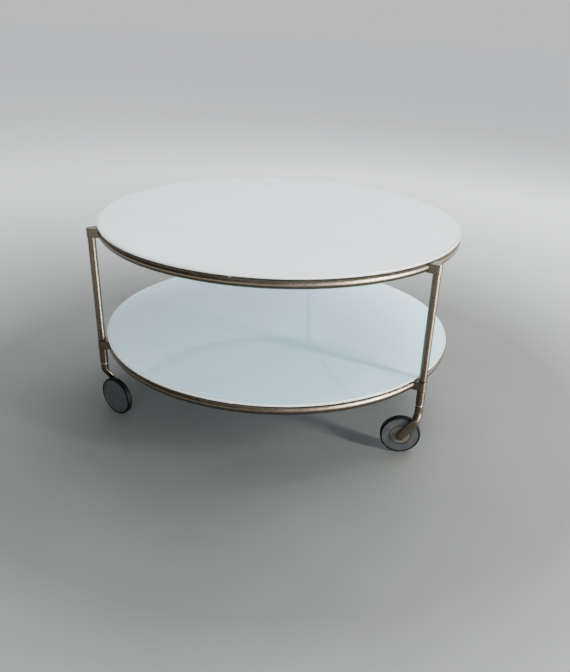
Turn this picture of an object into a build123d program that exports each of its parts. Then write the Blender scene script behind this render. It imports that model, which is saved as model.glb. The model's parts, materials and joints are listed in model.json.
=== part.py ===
"""Rolling coffee table: two glass discs on tube rings, three legs, three swivelling casters.

Millimetres and degrees. The floor is z = 0 and the tops' common centre is x = y = 0.
"""
from build123d import *
import math
import os

# Glass tops
TABLE_HEIGHT = 412.0
SHELF_HEIGHT = 171.0
GLASS_DIAMETER = 750.0
GLASS_THICKNESS = 5.0
GLASS_ARRIS = 0.8

# Clear pads between ring and glass
PAD_THICKNESS = 2.0
PAD_DIAMETER = 10.0
PADS_PER_RING = 6
FIRST_PAD_ANGLE = 17.0

# Tube rings and the chord rods inside them
RING_TUBE_DIAMETER = 18.0
RING_WALL = 1.5
RING_OVERHANG = 0.5
ROD_DIAMETER = 10.0
ROD_FROM_CENTRE = 190.0

# Legs and the lugs that join them to the rings
LEG_ANGLES = {"rear": 77.0, "left": 197.0, "right": 317.0}
LEG_TUBE_DIAMETER = 16.0
LEG_WALL = 1.5
LEG_TO_RING_GAP = 3.0
LUG_MARGIN = 1.0
LUG_ROOT_INSET = 5.5
LUG_ROOT_WIDTH = 27.0
LUG_EDGE_CHAMFER = 0.6
LEG_COLLAR_HEIGHT = 3.0
LEG_COLLAR_STEP = 1.0
STUD_DIAMETER = 8.0
STUD_DEPTH = 10.0
STUD_END_ROOM = 1.0

# Sleeve under each lower lug, down to the caster, with the swivel bush in it
SLEEVE_BOTTOM = 113.5
SLEEVE_DIAMETER = 17.0
SLEEVE_WALL = 2.0
BUSH_TO_LUG_GAP = 2.5
BUSH_END_ROOM = 2.0
BUSH_FLANGE_THICKNESS = 1.3
BUSH_FLANGE_STEP = 1.0
PIN_DIAMETER = 9.0
PIN_END_ROOM = 2.5
PLUG_LENGTH = 12.0
SWIVEL_GAP = 0.3

# Caster arm: a straight neck, a bend and a flat blade; trail is from the swivel line to the axle
CASTER_COLLAR_HEIGHT = 2.4
CASTER_COLLAR_DIAMETER = 14.0
ARM_TUBE_DIAMETER = 16.0
ARM_WALL = 2.0
ARM_NECK = 17.0
ARM_BEND_LEAD = 9.0
ARM_BEND_SECTIONS = 4
ARM_BLADE_LENGTH = 39.0
ARM_BLADE_SLOPE = 48.0
ARM_BLADE_WIDTH = 18.5
ARM_BLADE_THICKNESS = 7.6
ARM_RIM_CHAMFER = 0.5
CASTER_TRAIL = 31.4
CASTER_HEADINGS = {"rear": 270.0, "left": 324.1, "right": 174.5}

# Wheel
WHEEL_DIAMETER = 82.0
WHEEL_WIDTH = 12.0
WHEEL_OFFSET = 0.0
WHEEL_TO_ARM_GAP = 0.8
TYRE_THICKNESS = 4.0
TYRE_SHOULDER = 2.8
DISC_INSET = 0.6
BACK_DISH_DEPTH = 0.5
BACK_DISH_RIM = 5.0
HUB_PLATE_DIAMETER = 43.0
HUB_PLATE_THICKNESS = 1.5
HUB_PLATE_GROOVE = 0.8
AXLE_DIAMETER = 8.0
AXLE_BOSS_DIAMETER = 12.0
AXLE_BOSS_STEP = 0.5
AXLE_GRIP = 5.5
WASHER_DIAMETER = 14.0
WHEEL_BUSH_DIAMETER = 14.0
WHEEL_BUSH_LENGTH = 5.7
CLIP_DIAMETER = 11.5
CLIP_THICKNESS = 1.2
HUB_BACK_WALL = 1.7

# Clearances, each measured on the radius or the face
WELD_GAP = 0.02
PUSH_FIT = 0.02
RUNNING_FIT = 0.06
THREAD_FIT = 0.05
END_GAP = 0.3

# Sizes that follow from those above
RING_OUTER_RADIUS = GLASS_DIAMETER / 2 + RING_OVERHANG
RING_RADIUS = RING_OUTER_RADIUS - RING_TUBE_DIAMETER / 2
RING_DROP = GLASS_THICKNESS + PAD_THICKNESS + RING_TUBE_DIAMETER / 2
UPPER_RING_Z = TABLE_HEIGHT - RING_DROP
LOWER_RING_Z = SHELF_HEIGHT - RING_DROP
LEG_RADIUS = RING_OUTER_RADIUS + LEG_TO_RING_GAP + LEG_TUBE_DIAMETER / 2
LUG_WIDTH = LEG_TUBE_DIAMETER + 2 * LUG_MARGIN
LUG_HEIGHT = RING_TUBE_DIAMETER
UPPER_LUG_BOTTOM = UPPER_RING_Z - LUG_HEIGHT / 2
LOWER_LUG_TOP = LOWER_RING_Z + LUG_HEIGHT / 2
LOWER_LUG_BOTTOM = LOWER_RING_Z - LUG_HEIGHT / 2
BUSH_LENGTH = LOWER_LUG_BOTTOM - SLEEVE_BOTTOM - BUSH_TO_LUG_GAP
BUSH_DIAMETER = SLEEVE_DIAMETER - 2 * SLEEVE_WALL
BUSH_BOTTOM = SLEEVE_BOTTOM - BUSH_FLANGE_THICKNESS
CASTER_COLLAR_TOP = BUSH_BOTTOM - SWIVEL_GAP
ARM_TOP = CASTER_COLLAR_TOP - CASTER_COLLAR_HEIGHT
AXLE_HEIGHT = WHEEL_DIAMETER / 2
WHEEL_FACE = WHEEL_OFFSET - WHEEL_WIDTH / 2
ARM_SIDE = WHEEL_FACE - WHEEL_TO_ARM_GAP - ARM_BLADE_THICKNESS / 2
BOSS_FACE = WHEEL_FACE - WHEEL_TO_ARM_GAP + AXLE_BOSS_STEP
DISC_FACE = WHEEL_FACE + DISC_INSET
DISC_BACK = WHEEL_FACE + WHEEL_WIDTH - DISC_INSET
DISC_DIAMETER = WHEEL_DIAMETER - 2 * TYRE_THICKNESS
HUB_FLOOR = DISC_FACE + HUB_PLATE_THICKNESS


def tube(outer_diameter, wall, length):
    """Upright tube with its lower end at z = 0."""
    up = (Align.CENTER, Align.CENTER, Align.MIN)
    outer = Cylinder(outer_diameter / 2, length, align=up)
    return outer - Cylinder(outer_diameter / 2 - wall, length, align=up)


def upright(diameter, z_low, z_high):
    """Upright solid cylinder between two heights."""
    up = (Align.CENTER, Align.CENTER, Align.MIN)
    return Pos(0, 0, z_low) * Cylinder(diameter / 2, z_high - z_low, align=up)


def at_leg(shape, angle):
    """Moves a shape made at the origin, with +X outward, to the leg at this angle."""
    return Rot(0, 0, angle) * Pos(LEG_RADIUS, 0, 0) * shape


def at_caster(shape, name):
    """Moves a shape made round its own swivel line, with +X to the wheel, to its leg."""
    angle = math.radians(LEG_ANGLES[name])
    foot = Pos(LEG_RADIUS * math.cos(angle), LEG_RADIUS * math.sin(angle), 0)
    return foot * Rot(0, 0, CASTER_HEADINGS[name]) * shape


def glass_disc(top):
    """Flat disc with a ground edge and both arrises taken off, its upper face at this height."""
    disc = upright(GLASS_DIAMETER, top - GLASS_THICKNESS, top)
    return chamfer(disc.edges().filter_by(GeomType.CIRCLE), GLASS_ARRIS)


def ring_body(z, growth=0.0):
    """The ring's whole outer form, grown for cutting what is welded to it."""
    return Pos(0, 0, z) * Torus(RING_RADIUS, RING_TUBE_DIAMETER / 2 + growth)


def ring_tube(z):
    """Round tube bent into a ring, hollow inside."""
    bore = Torus(RING_RADIUS, RING_TUBE_DIAMETER / 2 - RING_WALL)
    return ring_body(z) - Pos(0, 0, z) * bore


def ring_pads(z):
    """Clear pads saddled on the ring, their tops under the glass."""
    top = z + RING_TUBE_DIAMETER / 2 + PAD_THICKNESS
    blank = upright(PAD_DIAMETER, z, top)
    ring_bow = RING_RADIUS - math.sqrt(RING_RADIUS**2 - PAD_DIAMETER**2 / 4)
    saddle_radius = RING_TUBE_DIAMETER / 2 + WELD_GAP + ring_bow
    saddle = Pos(0, 0, z) * Cylinder(saddle_radius, 2 * PAD_DIAMETER, rotation=(90, 0, 0))
    pad = (blank - saddle).solids().sort_by(Axis.Z)[-1]
    step = 360.0 / PADS_PER_RING
    places = [Rot(0, 0, FIRST_PAD_ANGLE + step * i) * Pos(RING_RADIUS, 0, 0) for i in range(PADS_PER_RING)]
    return Compound([place * pad for place in places])


def chord_rod(z, facing):
    """Straight rod across the ring, its middle at this angle from the centre."""
    rod = Cylinder(ROD_DIAMETER / 2, 2 * RING_RADIUS, rotation=(90, 0, 0))
    rod = Rot(0, 0, facing) * Pos(ROD_FROM_CENTRE, 0, z) * rod
    pieces = (rod - ring_body(z, WELD_GAP)).solids()
    middle = Vector(0, 0, z)
    return min(pieces, key=lambda piece: (piece.center() - middle).length)


def lug_block(z):
    """Block from the ring out to the leg line, round there and flared to the ring."""
    root = RING_RADIUS + LUG_ROOT_INSET - LEG_RADIUS
    root_edge = Line((root, -LUG_ROOT_WIDTH / 2), (root, LUG_ROOT_WIDTH / 2))
    profile = make_hull([root_edge, *Circle(LUG_WIDTH / 2).edges()])
    block = Pos(0, 0, z - LUG_HEIGHT / 2) * extrude(profile, LUG_HEIGHT)
    rims = block.edges().filter_by(GeomType.CIRCLE)
    block = chamfer(rims, LUG_EDGE_CHAMFER)
    return block - Pos(-LEG_RADIUS, 0, 0) * ring_body(z, WELD_GAP)


def upper_lug():
    """Flat-topped lug with a blind threaded hole for the leg stud."""
    hole_top = UPPER_LUG_BOTTOM + STUD_DEPTH + STUD_END_ROOM
    hole = upright(STUD_DIAMETER + 2 * THREAD_FIT, UPPER_LUG_BOTTOM, hole_top)
    return lug_block(UPPER_RING_Z) - hole


def lower_lug():
    """Lug with the long sleeve below it, bored for the stud and for the swivel bush."""
    sleeve = upright(SLEEVE_DIAMETER, SLEEVE_BOTTOM, LOWER_LUG_BOTTOM + LUG_HEIGHT / 2)
    sleeve = chamfer(sleeve.edges().group_by(Axis.Z)[0], LUG_EDGE_CHAMFER)
    body = lug_block(LOWER_RING_Z) + sleeve
    stud_floor = LOWER_LUG_TOP - STUD_DEPTH - STUD_END_ROOM
    stud_hole = upright(STUD_DIAMETER + 2 * THREAD_FIT, stud_floor, LOWER_LUG_TOP)
    bush_roof = SLEEVE_BOTTOM + BUSH_LENGTH + BUSH_END_ROOM
    bush_hole = upright(BUSH_DIAMETER, SLEEVE_BOTTOM, bush_roof)
    return body - stud_hole - bush_hole


def leg_tube():
    """Leg from the collar up to the upper lug."""
    foot = LOWER_LUG_TOP + LEG_COLLAR_HEIGHT
    return Pos(0, 0, foot) * tube(LEG_TUBE_DIAMETER, LEG_WALL, UPPER_LUG_BOTTOM - foot)


def leg_stud():
    """Threaded rod that draws both lugs on to the leg."""
    low = LOWER_LUG_TOP - STUD_DEPTH
    return upright(STUD_DIAMETER, low, UPPER_LUG_BOTTOM + STUD_DEPTH)


def leg_collar():
    """Narrow spacer under the leg, which leaves the dark line there."""
    diameter = LEG_TUBE_DIAMETER - 2 * LEG_COLLAR_STEP
    wall = (diameter - STUD_DIAMETER) / 2 - THREAD_FIT
    return Pos(0, 0, LOWER_LUG_TOP) * tube(diameter, wall, LEG_COLLAR_HEIGHT)


def swivel_bush():
    """Flanged plastic bush pressed in the sleeve."""
    barrel = upright(BUSH_DIAMETER - 2 * PUSH_FIT, BUSH_BOTTOM, SLEEVE_BOTTOM + BUSH_LENGTH)
    flange_diameter = SLEEVE_DIAMETER - 2 * BUSH_FLANGE_STEP
    flange = upright(flange_diameter, BUSH_BOTTOM, SLEEVE_BOTTOM)
    bore = upright(PIN_DIAMETER + 2 * RUNNING_FIT, BUSH_BOTTOM, SLEEVE_BOTTOM + BUSH_LENGTH)
    return barrel + flange - bore


def caster_pin():
    """Swivel pin with the wider plug that holds it in the arm tube."""
    pin = upright(PIN_DIAMETER, ARM_TOP, SLEEVE_BOTTOM + BUSH_LENGTH - PIN_END_ROOM)
    pin = chamfer(pin.edges().group_by(Axis.Z)[-1], LUG_EDGE_CHAMFER)
    plug_diameter = ARM_TUBE_DIAMETER - 2 * ARM_WALL - 2 * PUSH_FIT
    return pin + upright(plug_diameter, ARM_TOP - PLUG_LENGTH, ARM_TOP)


def caster_collar():
    """Bright ring between the arm's upper end and the bush."""
    ring = upright(CASTER_COLLAR_DIAMETER, ARM_TOP, CASTER_COLLAR_TOP)
    return ring - upright(PIN_DIAMETER + 2 * PUSH_FIT, ARM_TOP, CASTER_COLLAR_TOP)


def arm_hub():
    """Middle of the arm's blade at the axle."""
    return Vector(CASTER_TRAIL, -ARM_SIDE, AXLE_HEIGHT)


def blade_direction():
    """Unit vector down the blade towards the axle."""
    slope = math.radians(ARM_BLADE_SLOPE)
    return Vector(math.cos(slope), 0, -math.sin(slope))


def bend_points():
    """Control points of the bend's middle line, which leaves the neck straight down."""
    neck_end = Vector(0, 0, ARM_TOP - ARM_NECK)
    blade_start = arm_hub() - blade_direction() * ARM_BLADE_LENGTH
    second = neck_end - Vector(0, 0, ARM_BEND_LEAD)
    return neck_end, second, blade_start - blade_direction() * ARM_BEND_LEAD, blade_start


def arm_section(place, along, share):
    """Section square to the arm, from round (share 0) to the blade's flat oval (share 1)."""
    width = ARM_TUBE_DIAMETER + (ARM_BLADE_WIDTH - ARM_TUBE_DIAMETER) * share
    thickness = ARM_TUBE_DIAMETER + (ARM_BLADE_THICKNESS - ARM_TUBE_DIAMETER) * share
    plane = Plane(origin=place, x_dir=along.cross(Vector(0, 1, 0)), z_dir=along)
    return plane, Ellipse(width / 2, thickness / 2)


def bend_section(share):
    """Section of the bend, this far along it from the neck."""
    first, second, third, last = bend_points()
    rest = 1 - share
    place = first * rest**3 + second * (3 * share * rest**2)
    place = place + third * (3 * share**2 * rest) + last * share**3
    along = (second - first) * rest**2 + (third - second) * (2 * share * rest) + (last - third) * share**2
    plane, oval = arm_section(place, along, share)
    return plane * oval


def blade_end():
    """Rounded end of the blade, half a turn of its oval round the axle line."""
    plane, oval = arm_section(arm_hub(), blade_direction(), 1.0)
    half = oval & Pos(ARM_BLADE_WIDTH / 2, 0) * Rectangle(ARM_BLADE_WIDTH, ARM_BLADE_WIDTH)
    return revolve(plane * half, Axis(arm_hub(), (0, 1, 0)), 180)


def across(diameter, start, stop):
    """Cylinder on the axle line; start and stop are measured from the swivel line."""
    length = stop - start
    bar = Cylinder(diameter / 2, length, rotation=(90, 0, 0))
    return Pos(CASTER_TRAIL, -(start + stop) / 2, AXLE_HEIGHT) * bar


def caster_arm():
    """Tube that bends back and sideways past the tyre, pressed flat down to the axle."""
    neck_end = ARM_TOP - ARM_NECK
    neck = upright(ARM_TUBE_DIAMETER, neck_end, ARM_TOP)
    neck = chamfer(neck.edges().group_by(Axis.Z)[-1], ARM_RIM_CHAMFER)
    steps = ARM_BEND_SECTIONS - 1
    bend = loft([bend_section(i / steps) for i in range(ARM_BEND_SECTIONS)])
    blade = extrude(bend_section(1.0), ARM_BLADE_LENGTH)
    arm = neck + bend + blade + blade_end()
    arm += across(AXLE_BOSS_DIAMETER, ARM_SIDE, BOSS_FACE)
    arm -= upright(ARM_TUBE_DIAMETER - 2 * ARM_WALL, neck_end, ARM_TOP)
    return arm - across(AXLE_DIAMETER + 2 * PUSH_FIT, BOSS_FACE - AXLE_GRIP, BOSS_FACE)


def axle():
    """Pin from its seat in the blade to just past the clip."""
    return across(AXLE_DIAMETER, BOSS_FACE - AXLE_GRIP, clip_face() + CLIP_THICKNESS)


def clip_face():
    """Side of the clip that faces the wheel bush."""
    return HUB_FLOOR + WHEEL_BUSH_LENGTH + END_GAP


def axle_washer():
    """Washer between the arm and the hub plate."""
    stop = DISC_FACE - END_GAP
    bore = across(AXLE_DIAMETER + 2 * PUSH_FIT, BOSS_FACE, stop)
    return across(WASHER_DIAMETER, BOSS_FACE, stop) - bore


def axle_clip():
    """Ring on the axle's blind end that keeps the wheel on."""
    stop = clip_face() + CLIP_THICKNESS
    bore = across(AXLE_DIAMETER + 2 * PUSH_FIT, clip_face(), stop)
    return across(CLIP_DIAMETER, clip_face(), stop) - bore


def wheel_disc():
    """Disc with a seat for the hub plate, a blind hub and a shallow dish on its plain side."""
    disc = across(DISC_DIAMETER, DISC_FACE, DISC_BACK)
    disc -= across(HUB_PLATE_DIAMETER, DISC_FACE, HUB_FLOOR)
    disc -= across(WHEEL_BUSH_DIAMETER, HUB_FLOOR, DISC_BACK - HUB_BACK_WALL)
    disc -= across(DISC_DIAMETER - 2 * BACK_DISH_RIM, DISC_BACK - BACK_DISH_DEPTH, DISC_BACK)
    return disc


def wheel_tyre():
    """Rubber tyre with rounded shoulders, stretched over the disc."""
    tyre = across(WHEEL_DIAMETER, WHEEL_FACE, WHEEL_FACE + WHEEL_WIDTH)
    tyre = fillet(tyre.edges().filter_by(GeomType.CIRCLE), TYRE_SHOULDER)
    return tyre - across(DISC_DIAMETER + 2 * WELD_GAP, WHEEL_FACE, WHEEL_FACE + WHEEL_WIDTH)


def hub_plate():
    """Plate let into the disc, with a narrow groove left all round it."""
    plate = across(HUB_PLATE_DIAMETER - 2 * HUB_PLATE_GROOVE, DISC_FACE, HUB_FLOOR)
    return plate - across(AXLE_DIAMETER + 2 * END_GAP, DISC_FACE, HUB_FLOOR)


def wheel_bush():
    """Plain bush pressed in the hub, which runs on the axle."""
    stop = HUB_FLOOR + WHEEL_BUSH_LENGTH
    bore = across(AXLE_DIAMETER + 2 * RUNNING_FIT, HUB_FLOOR, stop)
    return across(WHEEL_BUSH_DIAMETER - 2 * PUSH_FIT, HUB_FLOOR, stop) - bore


def write(name, shape):
    """Saves one named piece."""
    export_step(shape, f"parts/{name}.step")


def build_tier(tier, glass_top, ring_z):
    """Glass, pads, ring and rods of one level."""
    write(f"{tier}_glass", glass_disc(glass_top))
    write(f"{tier}_pads", ring_pads(ring_z))
    write(f"{tier}_ring", ring_tube(ring_z))
    for name, angle in LEG_ANGLES.items():
        write(f"{tier}_rod_{name}", chord_rod(ring_z, angle + 180.0))


def build_legs():
    """Lugs, legs and what is inside them."""
    pieces = {
        "upper_lug": upper_lug(),
        "lower_lug": lower_lug(),
        "leg_tube": leg_tube(),
        "leg_stud": leg_stud(),
        "leg_collar": leg_collar(),
        "swivel_bush": swivel_bush(),
    }
    for piece, shape in pieces.items():
        for name, angle in LEG_ANGLES.items():
            write(f"{piece}_{name}", at_leg(shape, angle))


def build_casters():
    """Everything that swivels, and the wheels."""
    pieces = {
        "caster_pin": caster_pin(),
        "caster_collar": caster_collar(),
        "caster_arm": caster_arm(),
        "axle": axle(),
        "axle_washer": axle_washer(),
        "axle_clip": axle_clip(),
        "wheel_disc": wheel_disc(),
        "wheel_tyre": wheel_tyre(),
        "hub_plate": hub_plate(),
        "wheel_bush": wheel_bush(),
    }
    for piece, shape in pieces.items():
        for name in LEG_ANGLES:
            write(f"{piece}_{name}", at_caster(shape, name))


def main():
    os.makedirs("parts", exist_ok=True)
    build_tier("upper", TABLE_HEIGHT, UPPER_RING_Z)
    build_tier("lower", SHELF_HEIGHT, LOWER_RING_Z)
    build_legs()
    build_casters()


if __name__ == "__main__":
    main()
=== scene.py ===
"""Models and finishes the rolling coffee table: glass discs on nickel-plated rings, legs and casters."""
import json
import math
from functools import partial

import bmesh
import bpy
from mathutils import Matrix, Vector


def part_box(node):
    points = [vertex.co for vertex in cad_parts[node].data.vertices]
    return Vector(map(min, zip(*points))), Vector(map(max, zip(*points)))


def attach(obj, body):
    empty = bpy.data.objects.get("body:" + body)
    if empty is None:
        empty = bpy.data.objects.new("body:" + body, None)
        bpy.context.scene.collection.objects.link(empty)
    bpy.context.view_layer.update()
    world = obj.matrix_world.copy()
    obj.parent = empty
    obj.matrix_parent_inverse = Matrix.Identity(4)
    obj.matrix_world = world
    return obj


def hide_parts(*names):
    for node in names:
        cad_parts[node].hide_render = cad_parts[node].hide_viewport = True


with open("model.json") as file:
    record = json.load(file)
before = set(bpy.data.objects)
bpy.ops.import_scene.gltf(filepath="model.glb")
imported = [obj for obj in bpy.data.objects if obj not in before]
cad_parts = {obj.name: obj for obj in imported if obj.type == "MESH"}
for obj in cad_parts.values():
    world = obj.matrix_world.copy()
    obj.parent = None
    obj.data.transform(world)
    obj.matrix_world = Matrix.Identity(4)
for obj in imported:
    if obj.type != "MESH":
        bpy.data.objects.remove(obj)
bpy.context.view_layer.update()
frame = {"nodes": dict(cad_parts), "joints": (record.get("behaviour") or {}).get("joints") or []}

bl_info = {
    "name": "Rolling Coffee Table",
    "version": (1, 0, 0),
    "blender": (4, 5, 0),
    "location": "View3D > Sidebar > Table",
    "description": "Models and finishes a round two-tier glass table on casters",
    "category": "Object",
}

MM = 0.001
LEG_NAMES = ("rear", "left", "right")
TIERS = ("upper", "lower")
JOINTS = {joint["name"]: joint for joint in frame["joints"]}
SWIVELS = {leg: Vector(JOINTS[f"swivel_{leg}"]["pos_m"]) for leg in LEG_NAMES}
AXLES = {leg: Vector(JOINTS[f"spin_{leg}"]["pos_m"]) for leg in LEG_NAMES}

# Sizes of the plated frame that a node's box can't give
RODS_FROM_CENTRE = 190.0 * MM
LUG_MARGIN = 1.0 * MM
LUG_ROOT_WIDTH = 27.0 * MM
LUG_ROOT_INSET = 5.5 * MM
LUG_ROOT_SCALE = (1.0, 1.06, 0.86)
SLEEVE_RADIUS = 8.5 * MM
SLEEVE_BORE = 6.5 * MM
SLEEVE_EDGE = 0.4 * MM
LEG_BORE = 6.5 * MM

# Butt weld of a ring: its direction from the centre, and half of the arc that it takes up
SEAM_ANGLE = math.radians(96.0)
SEAM_HALF_SPAN = math.radians(0.9)

# Toe of the weld at a rod's end: its height as a share of the weld's, and its length
ROD_WELD_TOE_SHARE = 0.3
ROD_WELD_TOE_LENGTH = 1.5 * MM

# Weld round a sleeve: way out and way up from the ring's underside, as shares of its height
SLEEVE_WELD = ((0.0, -1.4), (0.4, -0.4), (0.9, 0.0), (0.9, 1.0))

# Caster arm: neck, bend and pressed blade
ARM_BORE = 6.0 * MM
ARM_BORE_DEPTH = 12.0 * MM
ARM_RADIUS = 8.0 * MM
ARM_NECK = 10.0 * MM
ARM_BEND_LEAD = 9.0 * MM
ARM_BLADE_LENGTH = 39.0 * MM
ARM_BLADE_SLOPE = math.radians(54.0)
ARM_BLADE_HALF_WIDTH = 9.25 * MM
ARM_BLADE_HALF_THICKNESS = 3.8 * MM
ARM_SIDE = 10.6 * MM
BOSS_RADIUS = 6.0 * MM
BOSS_FACE = 6.3 * MM
COLLAR_BORE = 4.52 * MM
ARM_RIM = 0.5 * MM
BEND_STEPS = 16
BEND_SUBSTEPS = 20
BLADE_STEPS = 4
BLADE_TIP_DEGREES = (15, 30, 45, 58, 70, 79, 86)
PATH_RESOLUTION = 32

# Wheel, measured from the axle line and from the wheel's middle plane
TYRE_HALF_WIDTH = 6.0 * MM
TYRE_DEPTH = 4.0 * MM
DISC_HALF_WIDTH = 5.4 * MM
HUB_SEAT_RADIUS = 21.5 * MM
HUB_SEAT_DEPTH = 1.5 * MM
HUB_PLATE_RADIUS = 20.7 * MM
HUB_PLATE_HOLE = 4.3 * MM
WHEEL_BUSH_SEAT = 7.0 * MM
HUB_BACK_WALL = 1.7 * MM
BACK_DISH_RADIUS = 32.0 * MM
GROOVE_LIP = 0.6 * MM
BACK_DISH_DEPTH = 0.5 * MM
TREAD_REACH = 0.01 * MM
SHOULDER_ANGLE = 1.0
# Reach and depth of the near-black tint in the groove round the hub plate
GROOVE_TINT_REACH = 1.5 * GROOVE_LIP
GROOVE_TINT_DEPTH = 0.02 * MM

# Sides of the round pieces
GLASS_SIDES = 256
RING_SIDES = 360
RING_TUBE_SIDES = 32
ROD_SIDES = 40
LUG_SIDES = 72
LEG_SIDES = 64
ARM_SIDES = 48
COLLAR_SIDES = 64
DISC_SIDES = 128
TYRE_SIDES = 144
HUB_PLATE_SIDES = 96

# Making of the meshes
SEED_SIZE = 1.0 * MM
DOUBLES = 0.01 * MM
FACING = 0.9
CUT_REACH = 0.1 * MM
SMOOTH_ANGLE = math.radians(50.0)

# Noise patterns of the finishes: scale and detail
NICKEL_CLOUDS = (14.0, 6.0)
NICKEL_STAINS = (46.0, 8.0)
NICKEL_GRAIN = (2600.0, 2.0)
NICKEL_WEAR = (30.0, 7.0)
PLASTIC_CLOUDS = (45.0, 6.0)
PLASTIC_DUST = (90.0, 8.0)
PLASTIC_GLOSS = (120.0, 5.0)
PLASTIC_GRAIN = (1500.0, 3.0)
GLASS_CLOUDS = (2.2, 5.0)
GLASS_SMUDGES = (9.0, 7.0)
FLOOR_CLOUDS = (2.0, 8.0)
FLOOR_GLOSS = (6.0, 6.0)

# Nickel: shares of its tint, strength of its marks, roughness, and how its grain is drawn out
NICKEL_CLOUD_SHADE = 0.9
NICKEL_STAIN_SHADE = 0.62
NICKEL_STAIN_BROWNING = (1.0, 0.94, 0.82)
NICKEL_LINE_SHADE = 0.7
NICKEL_STAIN_STRENGTH = 0.22
NICKEL_LINE_STRENGTH = 0.16
NICKEL_ROUGHNESS = (0.22, 0.32)
NICKEL_LINE_ROUGHNESS = (-0.03, 0.04)
NICKEL_GRAIN_DEPTH = 0.0005 * MM
NICKEL_ANISOTROPY = 0.85
RING_GRAIN_STRETCH = 0.006
LEVEL_GRAIN_STRETCH = (0.05, 0.05, 1.0)
# Painted shade: the rods and the caster arms get the rings' nickel made darker
ROD_PAINTED_SHADE = 0.95
ARM_PAINTED_SHADE = 0.97

# Plastic and rubber
PLASTIC_CLOUD_SHADE = 0.82
PLASTIC_SHEEN = 0.16
PLASTIC_GRAIN_DEPTH = 0.01 * MM

# Tints that have no setting
BRIGHT_COLLAR_TINT = (0.78, 0.76, 0.72)
ZINC_TINT = (0.50, 0.50, 0.51)
DARK_PLASTIC_TINT = (0.018, 0.018, 0.018)
CLEAR_PAD_TINT = (0.30, 0.32, 0.31)
NYLON_TINT = (0.6, 0.58, 0.52)
# Near-black tint of the groove round the hub plate
GROOVE_TINT = (0.02, 0.019, 0.017)
DUST_TINT = (0.32, 0.31, 0.29)

# Painted shadows of the rods in the glass: direction in degrees and distance from the centre.
# The shelf's lie over its rods. The top's follow the reference view and lie beside its rods.
PAINTED_ROD_SHADOWS = {
    "upper": ((17.0, 200.0 * MM), (137.0, 220.0 * MM), (257.0, 172.0 * MM)),
    "lower": ((17.0, 190.0 * MM), (137.0, 190.0 * MM), (257.0, 190.0 * MM)),
}
# Painted rod shadows: their darkness on each tier, the distance within which they are darkest and the
# one at which they fade out
ROD_SHADOW_TONES = {"upper": 0.95, "lower": 0.975}
ROD_SHADOW_CORE = 4.0 * MM
ROD_SHADOW_REACH = 13.0 * MM

# Glass
GLASS_CLOUD_SHADE = 0.99
SMUDGE_ROUGHNESS = (0.24, 0.34)
ENAMEL_FADE = 0.02
# Reach of the painted highlight inward from the arris, in arris widths
ARRIS_HIGHLIGHT_SPREAD = 2.5
GLASS_SHADER = {
    "Coat Weight": 1.0,
    "Coat Roughness": 0.025,
    "Coat IOR": 1.52,
    "Specular IOR Level": 0.2,
    "Subsurface Weight": 1.0,
    "Subsurface Radius": (0.85, 1.0, 1.1),
    "Subsurface Scale": 6.0 * MM,
}

# Surrounding light: its bright side, its reach and its tones, and the backdrop that is seen
SKY_SIDE = (0.45, 0.60, 0.65)
SKY_REACH = (-0.7, 0.8)
SKY_TONES = (
    (0.0, (0.035, 0.03, 0.025)),
    (0.42, (0.14, 0.13, 0.12)),
    (0.7, (0.70, 0.71, 0.73)),
    (1.0, (1.0, 1.02, 1.05)),
)
BACKDROP = (0.70, 0.71, 0.72)

# Floor: tones near the table and far from it, and the radii between which it turns pale
FLOOR_SIZE = 60.0
FLOOR_NEAR_TONES = ((0.3, (0.128, 0.131, 0.124)), (0.7, (0.156, 0.159, 0.15)))
FLOOR_FAR_TONE = (0.96, 0.965, 0.97)
FLOOR_PALING = (0.7, 2.4)
FLOOR_ROUGHNESS = (0.55, 0.7)
FLOOR_SHEEN = 0.25

# Softboxes
WINDOW = {
    "place": (2.1, -1.3, 1.0),
    "target": (0.0, 0.0, 0.25),
    "size": (0.26, 1.4),
    "power": 85.0,
    "colour": (1.0, 0.985, 0.96),
}
OVERHEAD = {
    "place": (0.9, 0.9, 2.4),
    "target": (0.0, 0.0, 0.2),
    "size": (2.6, 2.2),
    "power": 125.0,
    "colour": (0.95, 0.98, 1.0),
}
FILL = {
    "place": (-0.4, -2.6, 0.9),
    "target": (0.0, 0.0, 0.25),
    "size": (2.4, 1.2),
    "power": 52.0,
    "colour": (0.86, 0.95, 1.0),
}
GLINT = {
    "place": (1.75, -1.15, 0.45),
    "target": (0.0, 0.0, 0.3),
    "size": (1.3, 0.9),
    "power": 135.0,
    "colour": (0.97, 0.985, 1.0),
}

# Picture: its longer side in pixels, and the width in mm of the sensor that spans it
PICTURE_HEIGHT = 672
SENSOR = 36.0


def node_heights(node):
    """Lowest and highest z of a CAD node."""
    low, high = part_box(node)
    return low.z, high.z


def node_radius(node):
    """Half the width of a round CAD node."""
    low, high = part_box(node)
    return (high.x - low.x) / 2


def ring_size(tier):
    """Ring's centreline radius, tube radius and height."""
    low, high = node_heights(f"{tier}_ring")
    tube = (high - low) / 2
    return node_radius(f"{tier}_ring") - tube, tube, (low + high) / 2


def leg_angle(leg):
    """Direction of a leg from the table's centre."""
    return math.atan2(SWIVELS[leg].y, SWIVELS[leg].x)


def leg_line(leg):
    """Frame whose origin is on the leg's line at the floor, x outward."""
    foot = Vector((SWIVELS[leg].x, SWIVELS[leg].y, 0.0))
    return Matrix.Translation(foot) @ Matrix.Rotation(leg_angle(leg), 4, "Z")


def caster_line(leg):
    """Frame on the swivel line: x points to the wheel, z to the arm's side, y down."""
    swivel, axle = SWIVELS[leg], AXLES[leg]
    heading = math.atan2(axle.y - swivel.y, axle.x - swivel.x)
    foot = Matrix.Translation((swivel.x, swivel.y, 0.0))
    return foot @ Matrix.Rotation(heading, 4, "Z") @ Matrix.Rotation(-math.pi / 2, 4, "X")


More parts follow.
